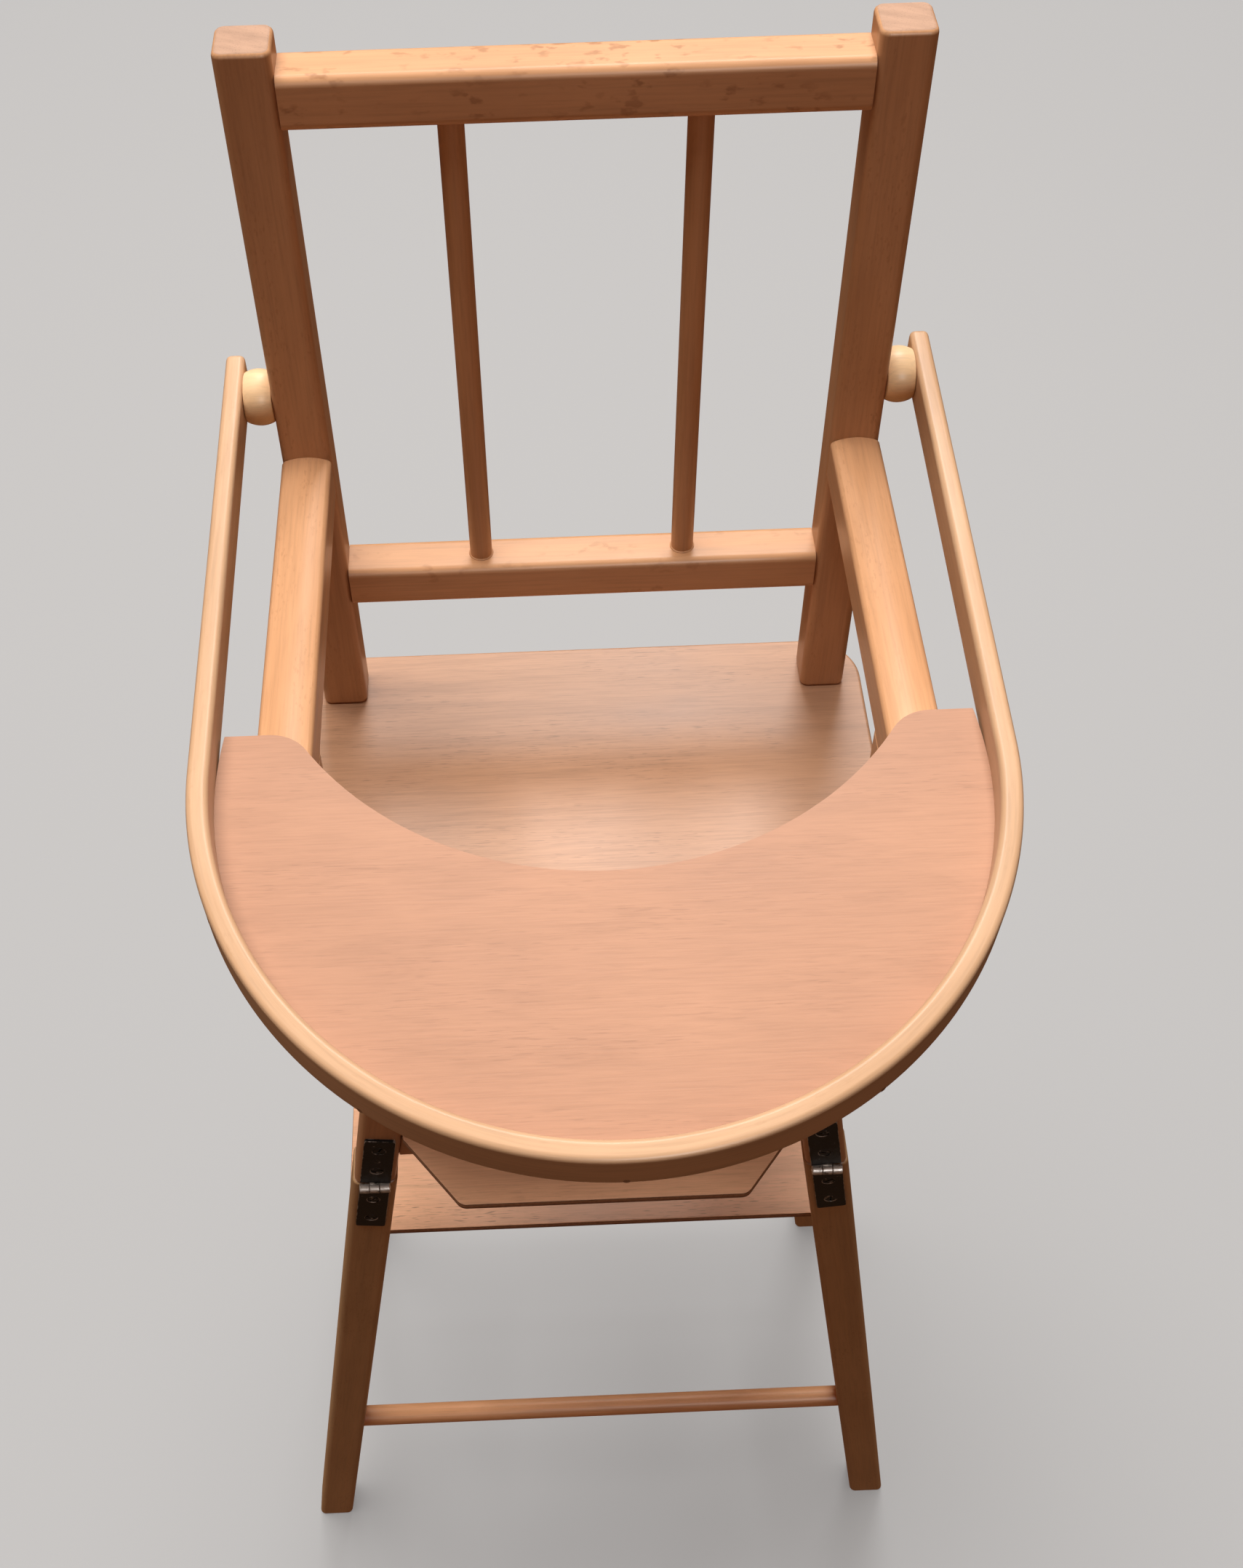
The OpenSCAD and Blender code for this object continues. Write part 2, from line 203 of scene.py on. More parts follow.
def blank(name, low, high):
    """A squared blank between two corners"""
    bpy.ops.object.select_all(action="DESELECT")
    bpy.ops.mesh.primitive_cube_add(size=1, location=(low + high) / 2, scale=high - low)
    return settle(name)


def round_blank(name, radius, long, place, turn=(0, 0, 0), steps=36):
    """A round blank, upright unless it is turned"""
    bpy.ops.object.select_all(action="DESELECT")
    bpy.ops.mesh.primitive_cylinder_add(vertices=steps, radius=radius, depth=long,
                                        location=place, rotation=turn)
    return settle(name)


def hold(piece):
    """Only this piece is picked and active"""
    bpy.ops.object.select_all(action="DESELECT")
    piece.select_set(True)
    bpy.context.view_layer.objects.active = piece


def pick(piece, kind, wanted):
    """Edit mode, with the points, edges or faces picked that pass the test"""
    hold(piece)
    bpy.ops.object.mode_set(mode="EDIT")
    bpy.ops.mesh.select_mode(type=kind)
    bpy.ops.mesh.select_all(action="DESELECT")
    grid = bmesh.from_edit_mesh(piece.data)
    grid.normal_update()
    for part in {"VERT": grid.verts, "EDGE": grid.edges, "FACE": grid.faces}[kind]:
        if wanted(part):
            part.select_set(True)
    grid.select_flush_mode()
    bmesh.update_edit_mesh(piece.data)


def leave():
    bpy.ops.object.mode_set(mode="OBJECT")


def runs_along(axis):
    return lambda edge: abs((edge.verts[1].co - edge.verts[0].co).normalized()[axis]) > 0.95


def round_edges(piece, wanted, radius, steps=ROUND_STEPS):
    """The chosen edges are routed round"""
    pick(piece, "EDGE", wanted)
    bpy.ops.mesh.bevel(offset=radius, segments=steps, affect="EDGES", clamp_overlap=True)
    leave()


def modify(piece, kind, **settings):
    """One modifier, set and applied"""
    hold(piece)
    bpy.ops.object.modifier_add(type=kind)
    tool = piece.modifiers[-1]
    for key_name, value in settings.items():
        setattr(tool, key_name, value)
    bpy.ops.object.modifier_apply(modifier=tool.name)


def soften(piece, width, steps=3, sharper_than=50):
    """Every edge sharper than an angle is sanded soft"""
    modify(piece, "BEVEL", width=width, segments=steps, limit_method="ANGLE",
           angle_limit=math.radians(sharper_than), use_clamp_overlap=True)


def smooth(piece, angle=40):
    """Rounded parts are shaded round and flat faces stay flat"""
    hold(piece)
    bpy.ops.object.shade_smooth_by_angle(angle=math.radians(angle))
    modify(piece, "WEIGHTED_NORMAL", keep_sharp=True, weight=60)


def fit(piece, finish, body, slot, *nodes):
    """The finished piece gets its material and its body, and the CAD nodes it stands for are
    hidden. The slot is not used
    """
    if finish is not None:
        piece.data.materials.clear()
        piece.data.materials.append(finish)
    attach(piece, body)
    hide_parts(*nodes)


def grain_space(tree, turn, seed, strip=None):
    """Coordinates with the grain along their X, shifted so that no two pieces match"""
    if strip:
        source = wire(tree, "ShaderNodeAttribute", attribute_name=strip).outputs["Vector"]
    else:
        source = wire(tree, "ShaderNodeTexCoord").outputs["Object"]
    return wire(tree, "ShaderNodeMapping", ("Vector", source), ("Rotation", turn),
                ("Location", (seed * 0.37, seed * 0.11, seed * 0.23))).outputs[0]


def stretched(tree, space, lengthways, across):
    return wire(tree, "ShaderNodeMapping", ("Vector", space),
                ("Scale", (lengthways, across, across))).outputs[0]


def blend_in(tree, how, amount, below, above):
    """One colour laid on another"""
    return wire(tree, "ShaderNodeMix", (0, amount), (6, below), (7, above),
                data_type="RGBA", blend_type=how).outputs[2]


def raise_relief(tree, shader, height, strength, distance):
    """Fine relief on the surface"""
    relief = wire(tree, "ShaderNodeBump", ("Height", height), ("Strength", strength),
                  ("Distance", distance))
    tree.links.new(relief.outputs["Normal"], shader.inputs["Normal"])


def tinted(colour, by):
    return (colour[0] * by, colour[1] * by, colour[2] * by, 1)


BEECH = (0.60, 0.325, 0.168)
GRAIN_ALONG = {X: (0, 0, 0), Y: (0, 0, -math.pi / 2), Z: (0, math.pi / 2, 0)}


def beech(name, turn, seed, tone=1.0, flecks=0.35, strip=None, colour=BEECH, coat=LACQUER,
          fleck_size=(330, 1150), fleck_from=0.45):
    """Lacquered beech: soft growth bands, fine streaks, short dark ray flecks and blotches"""
    wood, tree, shader = new_finish(name)
    space = grain_space(tree, turn, seed, strip)
    bands = wire(tree, "ShaderNodeTexNoise", ("Vector", stretched(tree, space, 5, 150)),
                 ("Scale", 1.0), ("Detail", 4.0), ("Roughness", 0.55), ("Distortion", 0.4))
    streaks = wire(tree, "ShaderNodeTexNoise", ("Vector", stretched(tree, space, 55, 1500)),
                   ("Scale", 1.0), ("Detail", 3.0), ("Roughness", 0.6))
    blotches = wire(tree, "ShaderNodeTexNoise", ("Vector", stretched(tree, space, 22, 60)),
                    ("Scale", 1.0), ("Detail", 2.0), ("Roughness", 0.5))
    ray_cells = stretched(tree, space, *fleck_size)
    wobble = wire(tree, "ShaderNodeTexNoise", ("Vector", ray_cells), ("Scale", 1.8),
                  ("Detail", 2.0))
    frayed = wire(tree, "ShaderNodeVectorMath", (0, wobble.outputs["Color"]),
                  (1, (1.3, 1.3, 1.3)), (2, ray_cells), operation="MULTIPLY_ADD")
    rays = wire(tree, "ShaderNodeTexVoronoi", ("Vector", frayed.outputs[0]),
                ("Scale", 1.0), ("Randomness", 1.0))
    ray_room = wire(tree, "ShaderNodeTexNoise", ("Vector", stretched(tree, space, 35, 130)),
                    ("Scale", 1.0), ("Detail", 1.0))
    base = stepped(tree, bands.outputs["Fac"],
                   (0.30, tinted(colour, 0.89 * tone)), (0.48, tinted(colour, 0.99 * tone)),
                   (0.60, tinted(colour, 1.05 * tone)), (0.74, tinted(colour, 0.95 * tone)))
    fine = stepped(tree, streaks.outputs["Fac"], (0.32, grey(0.90)), (0.52, grey(1.0)),
                   (0.75, grey(1.04)))
    patchy = stepped(tree, blotches.outputs["Fac"], (0.33, (0.93, 0.90, 0.87, 1)),
                     (0.66, (1.04, 1.04, 1.05, 1)))
    ray_mark = stepped(tree, rays.outputs["Distance"], (0.18, grey(1.0)), (0.36, grey(0.0)))
    ray_amount = stepped(tree, ray_room.outputs["Fac"], (fleck_from, grey(0.0)),
                         (fleck_from + 0.17, grey(flecks)))
    ray_factor = blend_in(tree, "MULTIPLY", 1.0, ray_mark, ray_amount)
    base = blend_in(tree, "MULTIPLY", 1.0, base, fine)
    base = blend_in(tree, "MULTIPLY", 1.0, base, patchy)
    fleck_colour = (colour[0] * 0.66 * tone, colour[1] * 0.58 * tone, colour[2] * 0.50 * tone, 1)
    base = blend_in(tree, "MIX", ray_factor, base, fleck_colour)
    tree.links.new(base, shader.inputs["Base Color"])
    gloss = wire(tree, "ShaderNodeMapRange", ("Value", bands.outputs["Fac"]),
                 ("From Min", 0.3), ("From Max", 0.7), ("To Min", 0.40), ("To Max", 0.52))
    tree.links.new(gloss.outputs["Result"], shader.inputs["Roughness"])
    shader.inputs["Specular IOR Level"].default_value = 0.4
    shader.inputs["Coat Weight"].default_value = coat
    shader.inputs["Coat Roughness"].default_value = 0.32
    raise_relief(tree, shader, streaks.outputs["Fac"], 0.35, 0.00008)
    return wood


def end_grain(name, seed, colour=(0.44, 0.275, 0.19)):
    """The sawn and sanded end of a beech bar: dull, a little darker, dotted with pores"""
    end, tree, shader = new_finish(name)
    space = grain_space(tree, (0, 0, 0.4), seed)
    rings = wire(tree, "ShaderNodeTexNoise", ("Vector", stretched(tree, space, 90, 420)),
                 ("Scale", 1.0), ("Detail", 3.0), ("Roughness", 0.6))
    dots = wire(tree, "ShaderNodeTexVoronoi", ("Vector", space), ("Scale", 1900.0))
    base = stepped(tree, rings.outputs["Fac"], (0.32, tinted(colour, 0.86)),
                   (0.66, tinted(colour, 1.08)))
    pits = stepped(tree, dots.outputs["Distance"], (0.10, grey(0.80)), (0.30, grey(1.0)))
    tree.links.new(blend_in(tree, "MULTIPLY", 1.0, base, pits), shader.inputs["Base Color"])
    shader.inputs["Roughness"].default_value = 0.62
    shader.inputs["Specular IOR Level"].default_value = 0.3
    raise_relief(tree, shader, dots.outputs["Distance"], 0.3, 0.00005)
    return end


def cap_ends(piece, axis, finish):
    """The faces that cross the grain show end grain"""
    piece.data.materials.append(finish)
    for polygon in piece.data.polygons:
        if abs(polygon.normal[axis]) > 0.85:
            polygon.material_index = 1


bar_end = end_grain("bar_end_grain", 2)
for seed, (side, tone) in enumerate((("left", 0.96), ("right", 1.0))):
    node = side + "_back_post"
    post = blank(side + "_post", *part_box(node))
    round_edges(post, runs_along(Z), BAR_ROUND)
    soften(post, END_SOFT)
    smooth(post)
    fit(post, beech(node + "_beech", GRAIN_ALONG[Z], seed + 1, tone), "chair", "frame_wood", node)
    cap_ends(post, Z, bar_end)

# ---- Back rails ----
# Two square rails of the same stock, glued between the posts on hidden dowels. The top
# one shows the most ray flecks.
for seed, node in enumerate(("top_rail", "lower_back_rail")):
    rail = blank(node + "_bar", *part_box(node))
    round_edges(rail, runs_along(X), BAR_ROUND)
    smooth(rail)
    fit(rail, beech(node + "_beech", GRAIN_ALONG[X], seed + 4, 1.04, flecks=(0.9, 0.5)[seed],
                    fleck_size=(170, 300), fleck_from=(0.36, 0.50)[seed]),
        "chair", "frame_wood", node)

# ---- Spindles ----
# Two thin dowels that fill the back, pushed into blind holes in the rails, with a thin
# bead of glue where they enter.
SPINDLE_STEPS = 40
DOWEL_CHAMFER = 0.0004
GLUE_WIDTH = 0.00035


def dowel(name, radius, long, place, turn=(0, 0, 0)):
    """A round bar with its ends chamfered"""
    made = round_blank(name, radius, long, place, turn, SPINDLE_STEPS)
    soften(made, DOWEL_CHAMFER, steps=2)
    return made


rail_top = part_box("lower_back_rail")[1].z
rail_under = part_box("top_rail")[0].z
for seed, side in enumerate(("left", "right")):
    node = side + "_spindle"
    low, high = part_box(node)
    middle = (low + high) / 2
    radius = (high.x - low.x) / 2
    spindle = dowel(side + "_spindle_rod", radius, high.z - low.z, middle)
    for height in (rail_top, rail_under):
        bpy.ops.mesh.primitive_torus_add(location=(middle.x, middle.y, height),
                                         major_radius=radius, minor_radius=GLUE_WIDTH,
                                         major_segments=SPINDLE_STEPS, minor_segments=8)
        ring = settle("glue_ring")
        hold(spindle)
        ring.select_set(True)
        bpy.ops.object.join()
    smooth(spindle)
    fit(spindle, beech(node + "_beech", GRAIN_ALONG[Z], seed + 7, 0.97, flecks=0.15), "chair",
        "bar_wood", node)

# ---- Seat board ----
# A thin plywood board faced with beech veneer, its grain across the chair, with rounded
# corners and sanded edges. It is the most polished of the boards.
SEAT_CORNER = 0.015
CORNER_STEPS = 14
BOARD_SOFT = 0.0010
PLIES = 3
VENEER = (0.565, 0.318, 0.190)


def veneer(name, seed, tone=1.0, dashes=0.5, polish=0.2, colour=VENEER, figure_long=9,
           contrast=1.0):
    """Beech face veneer: fine cross-chair figure with short dark pores and slow shading"""
    wood, tree, shader = new_finish(name)
    space = grain_space(tree, GRAIN_ALONG[X], seed)
    figure = wire(tree, "ShaderNodeTexNoise",
                  ("Vector", stretched(tree, space, figure_long, 210)),
                  ("Scale", 1.0), ("Detail", 4.0), ("Roughness", 0.6), ("Distortion", 0.8))
    threads = wire(tree, "ShaderNodeTexNoise", ("Vector", stretched(tree, space, 75, 1900)),
                   ("Scale", 1.0), ("Detail", 3.0), ("Roughness", 0.65))
    pores = wire(tree, "ShaderNodeTexNoise", ("Vector", stretched(tree, space, 190, 2700)),
                 ("Scale", 1.0), ("Detail", 1.0), ("Roughness", 0.5))
    pore_room = wire(tree, "ShaderNodeTexNoise", ("Vector", stretched(tree, space, 20, 95)),
                     ("Scale", 1.0), ("Detail", 2.0))
    clouds = wire(tree, "ShaderNodeTexNoise", ("Vector", stretched(tree, space, 16, 26)),
                  ("Scale", 1.0), ("Detail", 3.0), ("Roughness", 0.55))
    base = stepped(tree, figure.outputs["Fac"],
                   (0.28, tinted(colour, (1 - 0.12 * contrast) * tone)),
                   (0.47, tinted(colour, tone)),
                   (0.58, tinted(colour, (1 + 0.04 * contrast) * tone)),
                   (0.75, tinted(colour, (1 - 0.06 * contrast) * tone)))
    fine = stepped(tree, threads.outputs["Fac"], (0.30, grey(1 - 0.14 * contrast)),
                   (0.52, grey(1.0)), (0.72, grey(1 + 0.06 * contrast)))
    shade = stepped(tree, clouds.outputs["Fac"], (0.34, (0.93, 0.91, 0.90, 1)),
                    (0.66, (1.05, 1.05, 1.05, 1)))
    dash = stepped(tree, pores.outputs["Fac"], (0.30, grey(1.0)), (0.39, grey(0.0)))
    dash_amount = stepped(tree, pore_room.outputs["Fac"], (0.40, grey(0.0)),
                          (0.62, grey(dashes)))
    dash_factor = blend_in(tree, "MULTIPLY", 1.0, dash, dash_amount)
    base = blend_in(tree, "MULTIPLY", 1.0, base, fine)
    base = blend_in(tree, "MULTIPLY", 1.0, base, shade)
    base = blend_in(tree, "MIX", dash_factor, base, tinted(colour, 0.45 * tone))
    tree.links.new(base, shader.inputs["Base Color"])
    gloss = wire(tree, "ShaderNodeMapRange", ("Value", clouds.outputs["Fac"]),
                 ("From Min", 0.3), ("From Max", 0.7), ("To Min", 0.42), ("To Max", 0.54))
    tree.links.new(gloss.outputs["Result"], shader.inputs["Roughness"])
    shader.inputs["Specular IOR Level"].default_value = 0.4
    shader.inputs["Coat Weight"].default_value = polish
    shader.inputs["Coat Roughness"].default_value = 0.34
    raise_relief(tree, shader, threads.outputs["Fac"], 0.35, 0.00008)
    return wood


def ply_edge(name, low_z, high_z):
    """The sawn edge of plywood: thin plies, light and dark in turn, lacquered over, and kept
    dark, partly as painted shade along the edge
    """
    edge, tree, shader = new_finish(name)
    place = wire(tree, "ShaderNodeTexCoord").outputs["Object"]
    height = wire(tree, "ShaderNodeSeparateXYZ", ("Vector", place)).outputs["Z"]
    ply = wire(tree, "ShaderNodeMapRange", ("Value", height), ("From Min", low_z),
               ("From Max", high_z), ("To Min", 0.0), ("To Max", PLIES * math.pi))
    wave = wire(tree, "ShaderNodeMath", (0, ply.outputs["Result"]), operation="COSINE")
    fibres = wire(tree, "ShaderNodeTexNoise", ("Vector", place), ("Scale", 900.0),
                  ("Detail", 3.0), ("Roughness", 0.7))
    # The plies run from 0.62 to 0.95 of the veneer's colour: partly the plies' own colour, partly
    # painted shade on the edge.
    plies_and_painted_shade = stepped(tree, wave.outputs[0], (0.05, tinted(VENEER, 0.62)),
                     (0.60, tinted(VENEER, 0.95)))
    rough_cut = stepped(tree, fibres.outputs["Fac"], (0.3, grey(0.72)), (0.65, grey(1.05)))
    tree.links.new(blend_in(tree, "MULTIPLY", 1.0, plies_and_painted_shade, rough_cut),
                   shader.inputs["Base Color"])
    shader.inputs["Roughness"].default_value = 0.6
    raise_relief(tree, shader, fibres.outputs["Fac"], 0.4, 0.0001)
    return edge


def face_and_edge(board, face, edge):
    """Veneer on the two faces, and the sawn edge all round"""
    board.data.materials.clear()
    board.data.materials.append(face)
    board.data.materials.append(edge)
    for polygon in board.data.polygons:
        polygon.material_index = 0 if abs(polygon.normal.z) > 0.6 else 1


seat_low, seat_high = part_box("seat_board")
seat = blank("seat_ply", seat_low, seat_high)
round_edges(seat, runs_along(Z), SEAT_CORNER, CORNER_STEPS)
soften(seat, BOARD_SOFT)
smooth(seat)
# Tone 0.86 darkens the whole seat veneer: partly painted shade, to hold down the rear of the seat
# that the ceiling light reaches from behind.
face_and_edge(seat, veneer("seat_veneer", 11, 0.86, dashes=0.6, polish=0.45),
              ply_edge("seat_edge", seat_low.z, seat_high.z))
fit(seat, None, "chair", "board_wood", "seat_board")

# ---- Arms ----
# Two beech bars with a gently crowned top, butted and doweled against the posts' front
# faces, and resting on their supports in front.
CROWN_RADIUS = 0.014
CROWN_CUTS = 11
ARM_EDGE = 0.0014
ARM_END_SOFT = 0.0008
for seed, side in enumerate(("left", "right")):
    node = side + "_arm"
    low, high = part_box(node)
    middle = (low.x + high.x) / 2
    arm = blank(side + "_arm_bar", low, high)
    pick(arm, "EDGE", runs_along(X))
    bpy.ops.mesh.subdivide(number_cuts=CROWN_CUTS)
    leave()
    for column in range(CROWN_CUTS + 2):
        away = (column / (CROWN_CUTS + 1) - 0.5) * (high.x - low.x)
        sink = CROWN_RADIUS - math.sqrt(CROWN_RADIUS ** 2 - away ** 2)
        pick(arm, "VERT", lambda v: abs(v.co.x - middle - away) < 1e-5 and v.co.z > high.z - 1e-5)
        bpy.ops.transform.translate(value=(0, 0, -sink))
        leave()
    outer = (high.x - low.x) / 2 - 1e-5
    round_edges(arm, lambda e: runs_along(Y)(e) and abs(e.verts[0].co.x - middle) > outer,
                ARM_EDGE, 4)
    soften(arm, ARM_END_SOFT, sharper_than=62)
    smooth(arm, 30)
    fit(arm, beech(node + "_beech", GRAIN_ALONG[Y], seed + 15, 1.08, flecks=0.3),
        "chair", "frame_wood", node)
    cap_ends(arm, Y, bar_end)

# ---- Arm supports ----
# Two short uprights of the same bar that carry the arms' front ends. They stand on the
# seat board's front corners, doweled above and below.
for seed, side in enumerate(("left", "right")):
    node = side + "_arm_support"
    support = blank(side + "_arm_upright", *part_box(node))
    round_edges(support, runs_along(Z), BAR_ROUND)
    smooth(support)
    fit(support, beech(node + "_beech", GRAIN_ALONG[Z], seed + 18), "chair", "frame_wood", node)

# ---- Upper legs ----
# Four splayed legs of the same bar under the seat, cut level at the fold. The rear pair
# also leans back.
SAWN_SOFT = 0.0006


def leaning_bar(name, node, stock, outwards, backwards):
    """A bar that leans from its top to its foot, within the box of its node"""
    low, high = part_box(node)
    tall = high.z - low.z
    wide = stock / math.cos(math.atan2(high.x - low.x - stock, tall))
    deep = stock / math.cos(math.atan2(high.y - low.y - stock, tall)) if backwards else stock
    lean_x = outwards * (high.x - low.x - wide)
    lean_y = (high.y - low.y - deep) if backwards else 0
    foot_x = high.x - wide if outwards > 0 else low.x
    foot_y = high.y - deep
    made = blank(name, Vector((foot_x, foot_y, low.z)),
                 Vector((foot_x + wide, foot_y + deep, high.z)))
    round_edges(made, runs_along(Z), BAR_ROUND)
    half = (low.z + high.z) / 2
    pick(made, "VERT", lambda v: v.co.z > half)
    bpy.ops.transform.translate(value=(-lean_x, -lean_y, 0))
    leave()
    turn = (0, math.pi / 2 + math.atan2(lean_x, tall), 0)
    return made, turn


for seed, (node, outwards, backwards) in enumerate((
        ("left_front_upper_leg", -1, False), ("right_front_upper_leg", 1, False),
        ("left_rear_upper_leg", -1, True), ("right_rear_upper_leg", 1, True))):
    leg, turn = leaning_bar(node + "_bar", node, BAR, outwards, backwards)
    soften(leg, SAWN_SOFT, steps=2)
    smooth(leg)
    fit(leg, beech(node + "_beech", turn, seed + 21, 0.95), "chair", "frame_wood", node)
    cap_ends(leg, Z, bar_end)

# ---- Aprons and battens ----
# Four thin aprons tie the upper legs together under the seat, a batten carries the
# footrest, and two bearers carry the shelf. They are the CAD shapes, sawn and lacquered.
for seed, (node, along) in enumerate((
        ("front_apron", X), ("rear_apron", X), ("left_apron", Y), ("right_apron", Y),
        ("footrest_batten", X), ("left_shelf_bearer", Y), ("right_shelf_bearer", Y))):
    slab = frame["nodes"][node].copy()
    slab.data = frame["nodes"][node].data.copy()
    slab.name = node + "_slab"
    slab.data.name = node + "_slab"
    bpy.context.scene.collection.objects.link(slab)
    hold(slab)
    bpy.ops.object.mode_set(mode="EDIT")
    bpy.ops.mesh.select_all(action="SELECT")
    bpy.ops.mesh.remove_doubles(threshold=0.00001)
    bpy.ops.mesh.dissolve_limited(angle_limit=math.radians(1))
    leave()
    soften(slab, SAWN_SOFT, steps=2)
    smooth(slab)
    fit(slab, beech(node + "_beech", GRAIN_ALONG[along], seed + 26, 0.97),
        "stand" if "shelf" in node else "chair", "frame_wood", node)

# ---- Footrest board ----
# A trapezoid of thin veneered plywood with its front corners cut off, screwed down on
# the batten between the front legs.
THIN_BOARD_CORNER = 0.0015
low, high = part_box("footrest_board")
cad_points = [v.co for v in frame["nodes"]["footrest_board"].data.vertices]
front_half = max(abs(point.x) for point in cad_points if point.y < low.y + 1e-5)
cut_y = sorted({round(point.y, 5) for point in cad_points})[1]
footrest = blank("footrest_ply", Vector((low.x, cut_y, low.z)), high)
pick(footrest, "FACE", lambda f: f.normal.y < -0.9)
bpy.ops.mesh.extrude_region_move(TRANSFORM_OT_translate={"value": (0, low.y - cut_y, 0)})
leave()
for end in (-1, 1):
    pick(footrest, "VERT", lambda v: v.co.y < low.y + 1e-5 and v.co.x * end > 0)
    bpy.ops.transform.translate(value=(end * (front_half - high.x), 0, 0))
    leave()
round_edges(footrest, lambda e: runs_along(Z)(e) and e.verts[0].co.y < low.y + 1e-5,
            THIN_BOARD_CORNER, 3)
soften(footrest, SAWN_SOFT, steps=2, sharper_than=30)
smooth(footrest)
face_and_edge(footrest, veneer("footrest_veneer", 34, 1.22, dashes=0.3),
              ply_edge("footrest_edge", low.z, high.z))
fit(footrest, None, "chair", "board_wood", "footrest_board")

# ---- Stand legs ----
# Four splayed legs a shade thicker than the ones above, cut level at the fold and at the
# floor. The soft corner at the fold shows as a small step beside the hinge.
STAND_BAR = 0.0138
# The stand's beech is less orange than the chair's: painted grey light from the floor below.
STAND_BEECH_PAINTED_FLOOR_LIGHT = (0.648, 0.403, 0.207)
FOLD_SOFT = 0.0010
for seed, (node, outwards, backwards) in enumerate((
        ("left_front_stand_leg", -1, False), ("right_front_stand_leg", 1, False),
        ("left_rear_stand_leg", -1, True), ("right_rear_stand_leg", 1, True))):
    leg, turn = leaning_bar(node + "_bar", node, STAND_BAR, outwards, backwards)
    soften(leg, FOLD_SOFT)
    smooth(leg)
    # Tone 0.84 darkens the stand's legs: painted shade from the tray above them.
    fit(leg, beech(node + "_beech", turn, seed + 38, 0.84, flecks=0.45, colour=STAND_BEECH_PAINTED_FLOOR_LIGHT),
        "stand", "frame_wood", node)
    cap_ends(leg, Z, bar_end)

# ---- Shelf board ----
# A thin veneered board that lies on the bearers between the stand's legs and reaches a
# little past them. Its grain is open, with many dark pores.
SHELF_SOFT = 0.0005
low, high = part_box("shelf_board")
shelf = blank("shelf_ply", low, high)
round_edges(shelf, runs_along(Z), THIN_BOARD_CORNER, 3)
soften(shelf, SHELF_SOFT, steps=2)
smooth(shelf)
face_and_edge(shelf, veneer("shelf_veneer", 45, 1.32, dashes=0.9),
              ply_edge("shelf_edge", low.z, high.z))
fit(shelf, None, "stand", "board_wood", "shelf_board")

# ---- Round bars ----
# Four dowels that brace the stand: one low in front, one at the back and one on each
# side, glued into blind holes in the legs.
for seed, node in enumerate(("front_bar", "rear_bar")):
    low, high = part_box(node)
    bar = dowel(node + "_dowel", (high.y - low.y) / 2, high.x - low.x, (low + high) / 2,
                (0, math.pi / 2, 0))
    smooth(bar)
    # Tone 1.55 is partly paler beech and partly painted light: the light from above and its
    # highlight, which the tray's shadow keeps off the bar.
    fit(bar, beech(node + "_beech", GRAIN_ALONG[X], seed + 50, 1.55, flecks=0.1), "stand",
        "bar_wood", node)
for seed, side in enumerate(("left", "right")):
    node = side + "_side_bar"
    low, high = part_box(node)
    thick = high.z - low.z
    tilt = math.atan2(high.x - low.x - thick, high.y - low.y)
    across = (high.x - low.x - thick * math.cos(tilt)) / 2
    along = (high.y - low.y - thick * math.sin(tilt)) / 2
    turn_in = (1 if side == "left" else -1) * math.atan2(across, along)
    bar = dowel(node + "_dowel", thick / 2, 2 * math.hypot(across, along), (low + high) / 2,
                (math.pi / 2, 0, -turn_in))
    smooth(bar)
    # Tone 1.4 is partly paler beech and partly painted light from above.
    fit(bar, beech(node + "_beech", GRAIN_ALONG[Y], seed + 53, 1.4, flecks=0.1), "stand",
        "bar_wood", node)

# ---- Hinges ----
# A narrow butt hinge across each front leg: two stamped leaves of blackened steel, each
# with its part of the rolled barrel, on a steel pin. Use has worn the barrels and the
# leaves' edges to bare metal.
LEG_OFF_MIDDLE = 0.0695
LEAF_LONG = 0.028
LEAF_THICK = 0.0010
LEAF_CORNER = 0.0008
LEAF_GAP = 0.0017
LEAF_SOFT = 0.00018
BARREL_RADIUS = 0.0016
BARREL_GAP = 0.0001
BARREL_SOFT = 0.0002
WEB_LONG = LEAF_GAP + 0.0008
WEB_SET_BACK = 0.0001
WEB_SOFT = 0.00015
SCREW_PLACES = (0.0095, 0.022)
SCREW_HEAD = 0.0019
SCREW_PLAY = 0.00006


